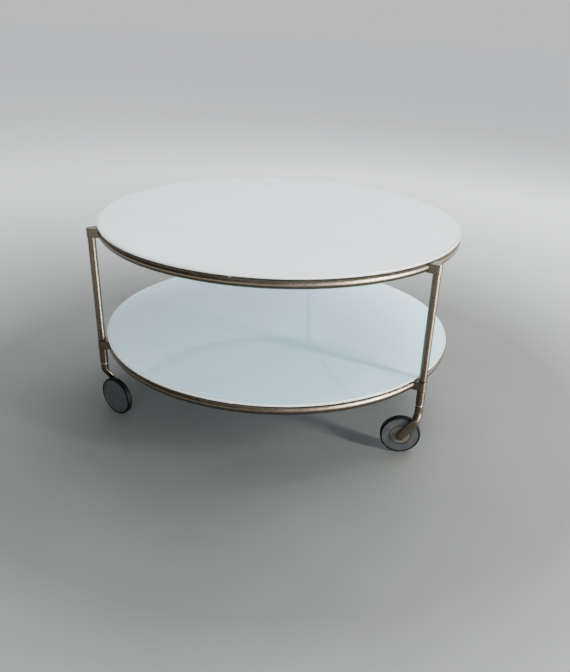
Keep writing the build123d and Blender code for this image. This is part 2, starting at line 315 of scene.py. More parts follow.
def caster_trail(leg):
    """Level distance from the swivel line to the axle."""
    return (AXLES[leg] - SWIVELS[leg]).xy.length


def axle_line(leg):
    """Frame at the wheel's middle with z along the axle to the arm's side."""
    return caster_line(leg) @ Matrix.Translation((caster_trail(leg), -AXLES[leg].z, 0.0))


def take(piece):
    """Makes one piece the only selected and active one."""
    bpy.ops.object.select_all(action="DESELECT")
    piece.select_set(True)
    bpy.context.view_layer.objects.active = piece


def pick(piece, kind, test):
    """In edit mode, selects exactly the verts, edges or faces that pass the test."""
    bpy.ops.mesh.select_mode(type={"verts": "VERT", "edges": "EDGE", "faces": "FACE"}[kind])
    bpy.ops.mesh.select_all(action="DESELECT")
    mesh = bmesh.from_edit_mesh(piece.data)
    for part in getattr(mesh, kind):
        if test(part):
            part.select_set(True)
    mesh.select_flush_mode()
    bmesh.update_edit_mesh(piece.data)


def close_seams():
    """In edit mode, merges doubles and turns every face outward."""
    bpy.ops.mesh.select_all(action="SELECT")
    bpy.ops.mesh.remove_doubles(threshold=DOUBLES)
    bpy.ops.mesh.normals_make_consistent(inside=False)


def square_outline(inner, outer, start, stop):
    """Outline between two radii that runs from one height to another."""
    return (inner, start), (outer, start), (outer, stop), (inner, stop)


def turned(outline, sides):
    """Piece turned round the upright axis from an outline of (radius, height) points."""
    points = [Vector((radius, 0.0, height)) for radius, height in outline]
    ends_on_axis = points[0].x == 0.0
    route = points if ends_on_axis else points + points[:1]
    bpy.ops.object.select_all(action="DESELECT")
    bpy.ops.mesh.primitive_plane_add(size=SEED_SIZE)
    piece = bpy.context.object
    bpy.ops.object.mode_set(mode="EDIT")
    bpy.ops.mesh.select_mode(type="VERT")
    bpy.ops.mesh.select_all(action="SELECT")
    bpy.ops.mesh.merge(type="CENTER")
    bpy.ops.transform.translate(value=route[0])
    for start, stop in zip(route, route[1:]):
        bpy.ops.mesh.extrude_vertices_move(TRANSFORM_OT_translate={"value": stop - start})
    bpy.ops.mesh.select_all(action="SELECT")
    bpy.ops.mesh.spin(steps=sides, angle=math.tau, center=(0.0, 0.0, 0.0), axis=(0.0, 0.0, 1.0))
    close_seams()
    bpy.ops.object.mode_set(mode="OBJECT")
    return piece


def soften(piece, width, segments=3, sharp=35.0):
    """Rounds the sharp edges and shades the piece smooth between flat faces."""
    take(piece)
    bevel = piece.modifiers.new("edges", "BEVEL")
    bevel.width = width
    bevel.segments = segments
    bevel.limit_method = "ANGLE"
    bevel.angle_limit = math.radians(sharp)
    bpy.ops.object.modifier_apply(modifier=bevel.name)
    shade(piece)


def shade(piece):
    """Smooth shading whose normals follow the larger faces."""
    take(piece)
    bpy.ops.object.shade_smooth_by_angle(angle=SMOOTH_ANGLE)
    weighted = piece.modifiers.new("shading", "WEIGHTED_NORMAL")
    weighted.keep_sharp = True
    bpy.ops.object.modifier_apply(modifier=weighted.name)


def joined(first, *others):
    """One piece made of several."""
    take(first)
    for other in others:
        other.select_set(True)
    bpy.ops.object.join()
    return first


def copied(piece):
    """A copy with its own mesh."""
    take(piece)
    bpy.ops.object.duplicate(linked=False)
    return bpy.context.object


def settle(piece, name, place, body, finishes, nodes):
    """Fixes a piece in its place, gives it its finishes and lets it ride on its body."""
    take(piece)
    piece.matrix_world = place @ piece.matrix_world
    bpy.ops.object.transform_apply(location=True, rotation=True, scale=True)
    piece.name = name
    piece.data.name = name
    for finish in finishes:
        piece.data.materials.append(finish)
    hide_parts(*nodes)
    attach(piece, body)


def settle_at_legs(pattern, name, place, body, finishes, node):
    """Copies a pattern to the three legs and removes the pattern."""
    for leg in LEG_NAMES:
        piece = copied(pattern)
        rides_on = body if body == "frame" else f"{body}_{leg}"
        settle(piece, f"{name}_{leg}", place(leg), rides_on, finishes, [f"{node}_{leg}"])
    bpy.data.objects.remove(pattern)


def new_material(name):
    """An empty node material with its principled shader, ready to be wired."""
    material = bpy.data.materials.new(name)
    material.use_nodes = True
    tree = material.node_tree
    return material, tree, tree.nodes["Principled BSDF"]


def add_node(tree, kind, inputs=None, **settings):
    """Adds one shader node with its settings, wires sockets and sets plain values."""
    node = tree.nodes.new("ShaderNode" + kind)
    for key, value in settings.items():
        setattr(node, key, value)
    for key, value in (inputs or {}).items():
        if isinstance(value, bpy.types.NodeSocket):
            tree.links.new(value, node.inputs[key])
        else:
            node.inputs[key].default_value = value
    return node


def set_inputs(shader, values):
    """Sets plain values of a shader's sockets."""
    for socket, value in values.items():
        shader.inputs[socket].default_value = value


def ramp(tree, factor, stops):
    """Colour ramp whose stops are (place, colour) pairs."""
    node = add_node(tree, "ValToRGB", {"Fac": factor})
    elements = node.color_ramp.elements
    while len(elements) < len(stops):
        elements.new(0.5)
    for element, (place, colour) in zip(elements, stops):
        element.position = place
        element.color = (*colour, 1.0)
    return node.outputs["Color"]


def shaded(colour, share):
    """A colour made darker or lighter."""
    return tuple(share * part for part in colour)


def object_coordinates(tree):
    """Socket with the point's place in metres in the table's own frame."""
    return add_node(tree, "TexCoord").outputs["Object"]


def arithmetic(tree, operation, first, second=0.0):
    """One sum on two values or sockets."""
    return add_node(tree, "Math", {0: first, 1: second}, operation=operation).outputs["Value"]


def noise(tree, pattern, place=None):
    """Noise in a pattern of (scale, detail), over a place socket or the table's own frame."""
    scale, detail = pattern
    vector = object_coordinates(tree) if place is None else place
    inputs = {"Vector": vector, "Scale": scale, "Detail": detail}
    return add_node(tree, "TexNoise", inputs).outputs["Fac"]


def map_range(tree, value, low, high, start=0.0, stop=1.0):
    """Rescales a value from the range start to stop to the range low to high."""
    inputs = {"Value": value, "From Min": start, "From Max": stop, "To Min": low, "To Max": high}
    return add_node(tree, "MapRange", inputs).outputs["Result"]


def mixed(tree, factor, first, second, blend="MIX"):
    """Mixes two colours or sockets by a factor."""
    node = add_node(tree, "Mix", {"Factor": factor}, data_type="RGBA", blend_type=blend)
    for socket, value in ((node.inputs[6], first), (node.inputs[7], second)):
        if isinstance(value, bpy.types.NodeSocket):
            tree.links.new(value, socket)
        else:
            socket.default_value = (*value, 1.0)
    return node.outputs[2]


def finish_surface(tree, shader, colour, roughness, height=None, depth=0.0):
    """Wires colour, roughness and a bump of real depth into the shader."""
    tree.links.new(colour, shader.inputs["Base Color"])
    tree.links.new(roughness, shader.inputs["Roughness"])
    if height is not None:
        bump = add_node(tree, "Bump", {"Height": height, "Distance": depth, "Strength": 1.0})
        tree.links.new(bump.outputs["Normal"], shader.inputs["Normal"])


def radius_socket(tree):
    """Distance of the point from the table's centre line."""
    inputs = {0: object_coordinates(tree), 1: (1.0, 1.0, 0.0)}
    flat = add_node(tree, "VectorMath", inputs, operation="MULTIPLY").outputs["Vector"]
    return add_node(tree, "VectorMath", {0: flat}, operation="LENGTH").outputs["Value"]


def ring_grain(tree):
    """Place told as way round, radius and height, so that the grain runs round the ring."""
    apart = add_node(tree, "SeparateXYZ", {"Vector": object_coordinates(tree)})
    turn = arithmetic(tree, "ARCTAN2", apart.outputs["Y"], apart.outputs["X"])
    way = arithmetic(tree, "MULTIPLY", turn, RING_GRAIN_STRETCH)
    inputs = {"X": way, "Y": radius_socket(tree), "Z": apart.outputs["Z"]}
    return add_node(tree, "CombineXYZ", inputs).outputs["Vector"]


def level_grain(tree):
    """Place whose grain is drawn out level, round the upright pieces."""
    inputs = {"Vector": object_coordinates(tree), "Scale": LEVEL_GRAIN_STRETCH}
    return add_node(tree, "Mapping", inputs).outputs["Vector"]


def ring_lines(tree):
    """Tangent of the satin grain on a ring: the way round the table."""
    inputs = {0: (0.0, 0.0, 1.0), 1: object_coordinates(tree)}
    along = add_node(tree, "VectorMath", inputs, operation="CROSS_PRODUCT").outputs["Vector"]
    return add_node(tree, "VectorMath", {0: along}, operation="NORMALIZE").outputs["Vector"]


def upright_lines(tree):
    """Tangent of the satin grain on the upright pieces."""
    return add_node(tree, "CombineXYZ", {"Z": 1.0}).outputs["Vector"]


def nickel_finish(name, tint, grain_place=object_coordinates, lines=None):
    """Satin nickel plating: cloudy tone, faint stains, fine polishing lines and wear."""
    material, tree, shader = new_material(name)
    set_inputs(shader, {"Metallic": 1.0})
    if lines:
        set_inputs(shader, {"Anisotropic": NICKEL_ANISOTROPY})
        tree.links.new(lines(tree), shader.inputs["Tangent"])
    tones = ((0.35, shaded(tint, NICKEL_CLOUD_SHADE)), (0.65, tint))
    clouds = ramp(tree, noise(tree, NICKEL_CLOUDS), tones)
    stains = map_range(tree, noise(tree, NICKEL_STAINS), 0.0, NICKEL_STAIN_STRENGTH, 0.6, 0.75)
    browned = tuple(part * share for part, share in zip(tint, NICKEL_STAIN_BROWNING))
    stained = mixed(tree, stains, clouds, shaded(browned, NICKEL_STAIN_SHADE))
    grain = noise(tree, NICKEL_GRAIN, grain_place(tree))
    lining = map_range(tree, grain, 0.0, NICKEL_LINE_STRENGTH, 0.35, 0.65)
    lined = mixed(tree, lining, stained, shaded(tint, NICKEL_LINE_SHADE))
    worn = map_range(tree, noise(tree, NICKEL_WEAR), *NICKEL_ROUGHNESS)
    roughness = arithmetic(tree, "ADD", worn, map_range(tree, grain, *NICKEL_LINE_ROUGHNESS))
    finish_surface(tree, shader, lined, roughness, grain, NICKEL_GRAIN_DEPTH)
    return material


def plastic_finish(name, tint, roughness, dust=0.0):
    """Moulded plastic or rubber: fine grain, uneven gloss and a little dust."""
    material, tree, shader = new_material(name)
    set_inputs(shader, {"Specular IOR Level": PLASTIC_SHEEN})
    tones = ((0.3, shaded(tint, PLASTIC_CLOUD_SHADE)), (0.7, tint))
    clouds = ramp(tree, noise(tree, PLASTIC_CLOUDS), tones)
    dusty = map_range(tree, noise(tree, PLASTIC_DUST), 0.0, dust, 0.5, 0.75)
    colour = mixed(tree, dusty, clouds, DUST_TINT)
    gloss = map_range(tree, noise(tree, PLASTIC_GLOSS), *roughness)
    finish_surface(tree, shader, colour, gloss, noise(tree, PLASTIC_GRAIN), PLASTIC_GRAIN_DEPTH)
    return material


def painted_rod_shadow(tree, angle, distance, tone):
    """Factor that is the tone along a painted rod shadow in the glass and one away from it."""
    inputs = {0: object_coordinates(tree), 1: (math.cos(angle), math.sin(angle), 0.0)}
    along = add_node(tree, "VectorMath", inputs, operation="DOT_PRODUCT").outputs["Value"]
    away = arithmetic(tree, "ABSOLUTE", arithmetic(tree, "SUBTRACT", along, distance))
    inputs = {
        "Value": away,
        "From Min": ROD_SHADOW_CORE,
        "From Max": ROD_SHADOW_REACH,
        "To Min": tone,
        "To Max": 1.0,
    }
    return add_node(tree, "MapRange", inputs, interpolation_type="SMOOTHSTEP").outputs["Result"]


def glass_colour(tree, clouds, white, radius, sizes, colours):
    """Cloudy enamel with painted rod shadows, then a painted highlight line, the clear border,
    a painted highlight by the arris and the ground edge.
    """
    zone = 2 * colours.border_width
    share = map_range(tree, radius_socket(tree), 0.0, 1.0, radius - zone, radius)
    # Shares of the edge zone taken by the painted highlight line and by the arris
    line, arris = colours.border_highlight_width / zone, sizes.glass_arris / zone
    highlight_tint, clear_tint = tuple(colours.edge_highlight), tuple(colours.border)
    # Stops: enamel, painted highlight line where the clear border starts, clear border, painted
    # highlight by the arris, ground edge
    stops = (
        (0.0, white),
        (0.5 - line, white),
        (0.5, highlight_tint),
        (0.5 + line, clear_tint),
        (1.0 - ARRIS_HIGHLIGHT_SPREAD * arris, clear_tint),
        (1.0 - arris, highlight_tint),
        (1.0, tuple(colours.ground_edge)),
    )
    outside = map_range(tree, share, 0.0, 1.0, 0.5 - line - ENAMEL_FADE, 0.5 - line)
    return mixed(tree, outside, clouds, ramp(tree, share, stops))


def milky_glass(tier, sizes, colours):
    """White enamel under clear glass, with painted rod shadows, painted highlights, the clear border and
    the ground edge.
    """
    material, tree, shader = new_material(f"milky_glass_{tier}")
    # For the shelf, this tint holds painted bluish light from the top glass and the reflected sky
    white = tuple(getattr(colours, f"{tier}_enamel"))
    tones = ((0.3, shaded(white, GLASS_CLOUD_SHADE)), (0.7, white))
    clouds = ramp(tree, noise(tree, GLASS_CLOUDS), tones)
    # Painted shadows of the rods, multiplied into the cloudy enamel
    for degrees, distance in PAINTED_ROD_SHADOWS[tier]:
        factor = painted_rod_shadow(tree, math.radians(degrees), distance, ROD_SHADOW_TONES[tier])
        grey = add_node(tree, "CombineColor", {"Red": factor, "Green": factor, "Blue": factor})
        clouds = mixed(tree, 1.0, clouds, grey.outputs["Color"], "MULTIPLY")
    colour = glass_colour(tree, clouds, white, node_radius(f"{tier}_glass"), sizes, colours)
    smudges = map_range(tree, noise(tree, GLASS_SMUDGES), *SMUDGE_ROUGHNESS)
    finish_surface(tree, shader, colour, smudges)
    set_inputs(shader, GLASS_SHADER)
    return material


def dress(material, *nodes):
    """Gives CAD nodes a finish."""
    for name in nodes:
        mesh = frame["nodes"][name].data
        mesh.materials.clear()
        mesh.materials.append(material)


def every_leg(*pieces):
    """The three nodes of each named piece."""
    return [f"{piece}_{leg}" for piece in pieces for leg in LEG_NAMES]


def colour_property(name, description, default):
    """A colour that a user can change."""
    return bpy.props.FloatVectorProperty(
        name=name,
        description=description,
        subtype="COLOR",
        size=3,
        min=0.0,
        max=1.0,
        default=default,
    )


def length_property(name, description, default):
    """A length that a user can change."""
    return bpy.props.FloatProperty(
        name=name,
        description=description,
        unit="LENGTH",
        min=0.0,
        precision=5,
        default=default,
    )


class TableColours(bpy.types.PropertyGroup):
    """Colours of the finishes."""

    upper_enamel: colour_property(
        "Top's enamel", "White enamel seen through the top", (0.80, 0.875, 0.905)
    )
    # Painted light: the shelf's tint is bluer than the top's, standing for bluish light through the top
    # glass and the reflected sky
    lower_enamel: colour_property(
        "Shelf's enamel", "White enamel seen through the shelf", (0.60, 0.84, 1.0)
    )
    border: colour_property(
        "Clear border", "Clear glass outside the enamel", (0.52, 0.585, 0.58)
    )
    # Painted highlight: the bright line where the clear border starts, and again by the arris
    edge_highlight: colour_property(
        "Edge line", "Bright line where the border starts and ends", (0.93, 0.97, 0.97)
    )
    ground_edge: colour_property(
        "Ground edge", "Greenish ground edge of the glass", (0.88, 0.965, 0.975)
    )
    nickel: colour_property("Nickel", "Satin nickel plating", (0.175, 0.145, 0.11))
    disc: colour_property("Wheel disc", "Grey moulded wheel disc", (0.062, 0.064, 0.065))
    tyre: colour_property("Tyre", "Black rubber tyre", (0.003, 0.003, 0.0035))
    hub: colour_property("Hub plate", "Beige-grey plate in the wheel's middle", (0.10, 0.088, 0.073))
    border_width: length_property("Border width", "Width of the clear border", 5.0 * MM)
    # Width of the painted highlight line where the clear border starts
    border_highlight_width: length_property("Border line", "Width of the bright line at the border", 0.9 * MM)


class TableSizes(bpy.types.PropertyGroup):
    """Edges and welds that make the pieces look made."""

    glass_arris: length_property("Glass arris", "Rounding of the glass edges", 0.8 * MM)
    plated_edge: length_property("Plated edge", "Rounding of the plated edges", 0.6 * MM)
    moulded_edge: length_property("Moulded edge", "Rounding of the moulded edges", 0.4 * MM)
    tyre_shoulder: length_property("Tyre shoulder", "Rounding of the tyre's shoulders", 2.8 * MM)
    weld_length: length_property("Weld length", "Length of the weld fillet at a rod's end", 4.0 * MM)
    weld_height: length_property("Weld height", "How far a weld stands off a rod", 1.3 * MM)
    seam_height: length_property("Seam height", "How far the ring's butt weld stands proud", 0.12 * MM)


class StageSettings(bpy.types.PropertyGroup):
    """Camera, floor and lights."""

    camera_place: bpy.props.FloatVectorProperty(
        name="Camera",
        description="Where the camera stands, from the table's centre on the floor",
        subtype="TRANSLATION",
        unit="LENGTH",
        size=3,
        default=(-0.00175, -1.4136, 0.78983),
    )
    heading: bpy.props.FloatProperty(
        name="Heading",
        description="How far the camera looks to the right of straight ahead",
        subtype="ANGLE",
        default=math.radians(3.205),
    )
    pitch: bpy.props.FloatProperty(
        name="Pitch",
        description="How far the camera looks down",
        subtype="ANGLE",
        default=math.radians(26.614),
    )
    roll: bpy.props.FloatProperty(
        name="Roll",
        description="How far the camera's right side is tilted up",
        subtype="ANGLE",
        default=math.radians(2.842),
    )
    focal_pixels: bpy.props.FloatProperty(
        name="Focal length",
        description="Focal length in pixels of the picture",
        default=677.44,
    )
    axis_right: bpy.props.FloatProperty(
        name="Axis right",
        description="How far right of the picture's middle the lens axis falls, in pixels",
        default=26.11,
    )
    axis_down: bpy.props.FloatProperty(
        name="Axis down",
        description="How far below the picture's middle the lens axis falls, in pixels",
        default=20.47,
    )


class TABLE_OT_glass(bpy.types.Operator):
    """Makes both glass discs"""

    bl_idname = "table.glass"
    bl_label = "Glass discs"

    def execute(self, context):
        sizes, colours = context.scene.table_sizes, context.scene.table_colours
        here = Matrix.Identity(4)
        for tier in TIERS:
            node = f"{tier}_glass"
            outline = square_outline(0.0, node_radius(node), *node_heights(node))
            glass = turned(outline, GLASS_SIDES)
            soften(glass, sizes.glass_arris)
            finish = milky_glass(tier, sizes, colours)
            settle(glass, f"glass_{tier}", here, "frame", [finish], [node])
        return {"FINISHED"}


def at_seam(vert):
    """Says whether a point of a ring lies in its butt weld."""
    return abs(math.atan2(vert.co.y, vert.co.x) - SEAM_ANGLE) < SEAM_HALF_SPAN


def ring(tier, seam_height):
    """Tube ring with the slight swelling of its butt weld."""
    radius, tube, height = ring_size(tier)
    bpy.ops.object.select_all(action="DESELECT")
    bpy.ops.mesh.primitive_torus_add(
        major_radius=radius,
        minor_radius=tube,
        major_segments=RING_SIDES,
        minor_segments=RING_TUBE_SIDES,
        location=(0.0, 0.0, height),
    )
    piece = bpy.context.object
    bpy.ops.object.transform_apply(location=True, rotation=True, scale=True)
    bpy.ops.object.mode_set(mode="EDIT")
    pick(piece, "verts", at_seam)
    bpy.ops.transform.shrink_fatten(value=seam_height)
    bpy.ops.object.mode_set(mode="OBJECT")
    shade(piece)
    return piece


def rod(tier, sizes):
    """Chord rod whose welded ends flare on to the ring."""
    ring_radius, tube, _ = ring_size(tier)
    reach = math.sqrt(ring_radius**2 - RODS_FROM_CENTRE**2)
    slant = reach / ring_radius
    foot = reach - (tube - sizes.weld_height) / slant
    start = foot - sizes.weld_length
    low, high = node_heights(f"{tier}_rod_rear")
    radius = (high - low) / 2
    wide = radius + sizes.weld_height
    toe = radius + ROD_WELD_TOE_SHARE * sizes.weld_height
    half = (
        (0.0, reach),
        (wide, reach),
        (wide, foot),
        (toe, start + ROD_WELD_TOE_LENGTH),
        (radius, start),
    )
    outline = half + tuple((width, -length) for width, length in reversed(half))
    piece = turned(outline, ROD_SIDES)
    soften(piece, sizes.plated_edge, segments=2, sharp=12.0)
    return piece


def rod_line(height, leg):
    """Frame at the middle of the rod opposite a leg, with z along the rod."""
    facing = Matrix.Rotation(leg_angle(leg) + math.pi, 4, "Z")
    across = Matrix.Translation((RODS_FROM_CENTRE, 0.0, height))
    return facing @ across @ Matrix.Rotation(math.pi / 2, 4, "X")


class TABLE_OT_rings(bpy.types.Operator):
    """Makes the tube rings and the chord rods welded inside them"""

    bl_idname = "table.rings"
    bl_label = "Rings and rods"

    def execute(self, context):
        sizes, nickel = context.scene.table_sizes, tuple(context.scene.table_colours.nickel)
        plated = [nickel_finish("nickel_ring", nickel, ring_grain, ring_lines)]
        # The rods' nickel, made darker as painted shade
        painted_shade_nickel = [nickel_finish("nickel_rod", shaded(nickel, ROD_PAINTED_SHADE))]
        here = Matrix.Identity(4)
        for tier in TIERS:
            hoop = ring(tier, sizes.seam_height)
            node = f"{tier}_ring"
            settle(hoop, f"ring_{tier}", here, "frame", plated, [node])
            place = partial(rod_line, ring_size(tier)[2])
            name, node = f"rod_{tier}", f"{tier}_rod"
            settle_at_legs(rod(tier, sizes), name, place, "frame", painted_shade_nickel, node)
        return {"FINISHED"}


def lug_block(tier, sizes):
    """Block from the ring out to the leg line, round there and flared to the ring."""
    ring_radius, tube, height = ring_size(tier)
    leg_radius = SWIVELS["rear"].xy.length
    radius = node_radius("leg_tube_rear") + LUG_MARGIN
    root = ring_radius + LUG_ROOT_INSET - leg_radius
    corner = Vector((root, LUG_ROOT_WIDTH / 2))
    touch = math.atan2(corner.y, corner.x) - math.acos(radius / corner.length)
    cut = radius * math.cos(touch)
    spread = LUG_ROOT_WIDTH / 2 / (radius * math.sin(touch))

    def closes_cut(face):
        """Says whether a face closes the cut towards the ring."""
        near = abs(face.calc_center_median().x - cut) < CUT_REACH
        return near and face.normal.x < -FACING

    bpy.ops.object.select_all(action="DESELECT")
    bpy.ops.mesh.primitive_cylinder_add(
        vertices=LUG_SIDES,
        radius=radius,
        depth=2 * tube,
        location=(0.0, 0.0, height),
    )
    block = bpy.context.object
    bpy.ops.object.transform_apply(location=True, rotation=True, scale=True)
    bpy.ops.object.mode_set(mode="EDIT")
    bpy.ops.mesh.select_all(action="SELECT")
    bpy.ops.mesh.bisect(
        plane_co=(cut, 0.0, 0.0),
        plane_no=(1.0, 0.0, 0.0),
        clear_inner=True,
        use_fill=True,
    )
    pick(block, "faces", closes_cut)
    bpy.ops.mesh.extrude_region_move(TRANSFORM_OT_translate={"value": (root - cut, 0.0, 0.0)})
    bpy.ops.transform.resize(value=(1.0, spread, 1.0), center_override=(root, 0.0, height))
    step = (-LUG_ROOT_INSET / 2, 0.0, 0.0)
    bpy.ops.mesh.extrude_region_move(TRANSFORM_OT_translate={"value": step})
    bpy.ops.transform.resize(value=LUG_ROOT_SCALE, center_override=(root, 0.0, height))
    close_seams()
    bpy.ops.object.mode_set(mode="OBJECT")
    soften(block, sizes.plated_edge, sharp=40.0)
    return block


def sleeve(sizes):
    """Sleeve under the lower lug, with the weld round its upper end."""
    foot = node_heights("lower_lug_rear")[0]
    head = node_heights("lower_ring")[0]
    weld = sizes.weld_height
    bead = [(SLEEVE_RADIUS + out * weld, head + up * weld) for out, up in SLEEVE_WELD]
    outline = ((SLEEVE_BORE, foot), (SLEEVE_RADIUS, foot), *bead, (SLEEVE_BORE, head + weld))
    piece = turned(outline, LUG_SIDES)
    soften(piece, SLEEVE_EDGE, segments=2, sharp=25.0)
    return piece


class TABLE_OT_lugs(bpy.types.Operator):
    """Makes the lugs that carry the legs, and the caster sleeves"""

    bl_idname = "table.lugs"
    bl_label = "Lugs and sleeves"

    def execute(self, context):
        sizes, nickel = context.scene.table_sizes, tuple(context.scene.table_colours.nickel)
        plated = [nickel_finish("nickel_lug", nickel, level_grain, upright_lines)]
        upper = lug_block("upper", sizes)
        settle_at_legs(upper, "lug_upper", leg_line, "frame", plated, "upper_lug")
        lower = joined(lug_block("lower", sizes), sleeve(sizes))
        settle_at_legs(lower, "lug_lower", leg_line, "frame", plated, "lower_lug")
        return {"FINISHED"}


class TABLE_OT_legs(bpy.types.Operator):
    """Makes the leg tubes"""

    bl_idname = "table.legs"
    bl_label = "Legs"

    def execute(self, context):
        sizes, nickel = context.scene.table_sizes, tuple(context.scene.table_colours.nickel)
        plated = [nickel_finish("nickel_leg", nickel, level_grain, upright_lines)]
        node = "leg_tube_rear"
        outline = square_outline(LEG_BORE, node_radius(node), *node_heights(node))
        tube = turned(outline, LEG_SIDES)
        soften(tube, sizes.plated_edge)
        settle_at_legs(tube, "leg", leg_line, "frame", plated, "leg_tube")
        return {"FINISHED"}


def bend_route():
    """Middle line of the arm: the neck's ends, the bend's two leads, the blade's start and tip."""
    top = node_heights("caster_arm_rear")[1]
    blade = Vector((math.cos(ARM_BLADE_SLOPE), math.sin(ARM_BLADE_SLOPE), 0.0))
    axle = Vector((caster_trail("rear"), -AXLES["rear"].z, ARM_SIDE))
    neck_top = Vector((0.0, -top, 0.0))
    neck_end = Vector((0.0, ARM_NECK - top, 0.0))
    lead = Vector((0.0, ARM_BEND_LEAD, 0.0))
    blade_start = axle - blade * ARM_BLADE_LENGTH
    tip = axle + blade * ARM_BLADE_HALF_WIDTH
    return neck_top, neck_end, neck_end + lead, blade_start - blade * ARM_BEND_LEAD, blade_start, tip


def arm_path(route):
    """Curve that the straight tube is bent along."""
    neck_top, neck_end, lead_out, lead_in, blade_start, tip = route
    data = bpy.data.curves.new("arm_path", "CURVE")
    data.dimensions = "3D"
    data.twist_mode = "Z_UP"
    data.resolution_u = PATH_RESOLUTION
    spline = data.splines.new("BEZIER")
    spline.bezier_points.add(3)
    corners = (
        (neck_top, neck_top, neck_top.lerp(neck_end, 0.5)),
        (neck_end, neck_end.lerp(neck_top, 0.5), lead_out),
        (blade_start, lead_in, blade_start.lerp(tip, 0.5)),
        (tip, tip.lerp(blade_start, 0.5), tip),
    )
    for point, (place, before, after) in zip(spline.bezier_points, corners):
        point.handle_left_type = point.handle_right_type = "FREE"
        point.co, point.handle_left, point.handle_right = place, before, after
    path = bpy.data.objects.new("arm_path", data)
    bpy.context.scene.collection.objects.link(path)
    return path


def bend_lengths(route):
    """Lengths along the bend from its start, at even steps of the curve's own share."""
    _, first, second, third, last, _ = route
    lengths, length, before = [], 0.0, first
    for i in range(1, BEND_STEPS * BEND_SUBSTEPS + 1):
        t = i / (BEND_STEPS * BEND_SUBSTEPS)
        rest = 1.0 - t
        place = first * rest**3 + second * (3 * t * rest**2) + third * (3 * t**2 * rest) + last * t**3
        length += (place - before).length
        before = place
        if i % BEND_SUBSTEPS == 0:
            lengths.append(length)
    return lengths


def arm_stations(route):
    """Places along the straight tube with its half width and half thickness there."""
    stations = [
        (ARM_RIM / 2, ARM_BORE, ARM_BORE),
        (0.0, ARM_BORE + ARM_RIM / 2, ARM_BORE + ARM_RIM / 2),
        (0.0, ARM_RADIUS - ARM_RIM, ARM_RADIUS - ARM_RIM),
        (ARM_RIM / 3, ARM_RADIUS - ARM_RIM / 3, ARM_RADIUS - ARM_RIM / 3),
        (ARM_RIM, ARM_RADIUS, ARM_RADIUS),
        (ARM_NECK / 2, ARM_RADIUS, ARM_RADIUS),
        (ARM_NECK, ARM_RADIUS, ARM_RADIUS),
    ]
    lengths = bend_lengths(route)
    for i, length in enumerate(lengths, start=1):
        share = i / BEND_STEPS
        width = ARM_RADIUS + (ARM_BLADE_HALF_WIDTH - ARM_RADIUS) * share
        thickness = ARM_RADIUS + (ARM_BLADE_HALF_THICKNESS - ARM_RADIUS) * share
        stations.append((ARM_NECK + length, width, thickness))
    blade_start = ARM_NECK + lengths[-1]
    for i in range(1, BLADE_STEPS + 1):
        place = blade_start + ARM_BLADE_LENGTH * i / BLADE_STEPS
        stations.append((place, ARM_BLADE_HALF_WIDTH, ARM_BLADE_HALF_THICKNESS))
    for degrees in BLADE_TIP_DEGREES:
        turn = math.radians(degrees)
        share = math.cos(turn)
        place = blade_start + ARM_BLADE_LENGTH + ARM_BLADE_HALF_WIDTH * math.sin(turn)
        stations.append((place, ARM_BLADE_HALF_WIDTH * share, ARM_BLADE_HALF_THICKNESS * share))
    return stations


def straight_arm(route):
    """Closed tube along x, drawn out station by station and pressed flat towards its end."""
    bpy.ops.object.select_all(action="DESELECT")
    bpy.ops.mesh.primitive_circle_add(
        vertices=ARM_SIDES,
        radius=ARM_BORE,
        fill_type="NGON",
        location=(ARM_BORE_DEPTH, 0.0, 0.0),
        rotation=(0.0, math.pi / 2, 0.0),
    )
    piece = bpy.context.object
    bpy.ops.object.transform_apply(location=True, rotation=True, scale=True)
    bpy.ops.object.mode_set(mode="EDIT")
    bpy.ops.mesh.select_all(action="SELECT")
    place, width, thickness = ARM_BORE_DEPTH, ARM_BORE, ARM_BORE
    for next_place, next_width, next_thickness in arm_stations(route):
        step = {"value": (next_place - place, 0.0, 0.0)}
        bpy.ops.mesh.extrude_region_move(TRANSFORM_OT_translate=step)
        scale = (1.0, next_width / width, next_thickness / thickness)
        bpy.ops.transform.resize(value=scale, center_override=(next_place, 0.0, 0.0))
        place, width, thickness = next_place, next_width, next_thickness
    close_seams()
    bpy.ops.object.mode_set(mode="OBJECT")
    return piece


def caster_arm(sizes):
    """Arm bent along its path, with the boss that the axle sits in."""
    route = bend_route()
    arm = straight_arm(route)
    path = arm_path(route)
    take(arm)
    bend = arm.modifiers.new("bend", "CURVE")
    bend.object = path
    bend.deform_axis = "POS_X"
    bpy.ops.object.modifier_apply(modifier=bend.name)
    bpy.data.objects.remove(path)
    shade(arm)
    boss = turned(square_outline(0.0, BOSS_RADIUS, ARM_SIDE, BOSS_FACE), ARM_SIDES)
    soften(boss, sizes.plated_edge / 2)
    boss.location = (caster_trail("rear"), -AXLES["rear"].z, 0.0)
    return joined(arm, boss)


def caster_collar(sizes):
    """Bright ring between the arm and the bush."""
    node = "caster_collar_rear"
    outline = square_outline(COLLAR_BORE, node_radius(node), *node_heights(node))
    collar = turned(outline, COLLAR_SIDES)
    soften(collar, sizes.plated_edge)
    return collar


class TABLE_OT_arms(bpy.types.Operator):
    """Makes the caster arms and their collars"""

    bl_idname = "table.arms"
    bl_label = "Caster arms"

    def execute(self, context):
        sizes, nickel = context.scene.table_sizes, tuple(context.scene.table_colours.nickel)
        # The arms' nickel, made darker as painted shade
        plated = [nickel_finish("nickel_arm", shaded(nickel, ARM_PAINTED_SHADE))]
        arm = caster_arm(sizes)
        settle_at_legs(arm, "arm", caster_line, "caster", plated, "caster_arm")
        bright = [nickel_finish("nickel_collar", BRIGHT_COLLAR_TINT)]
        collar = caster_collar(sizes)
        settle_at_legs(collar, "collar", leg_line, "caster", bright, "caster_collar")
        return {"FINISHED"}


def disc_radius():
    """Radius of the wheel disc, inside the tyre."""
    return AXLES["rear"].z - TYRE_DEPTH


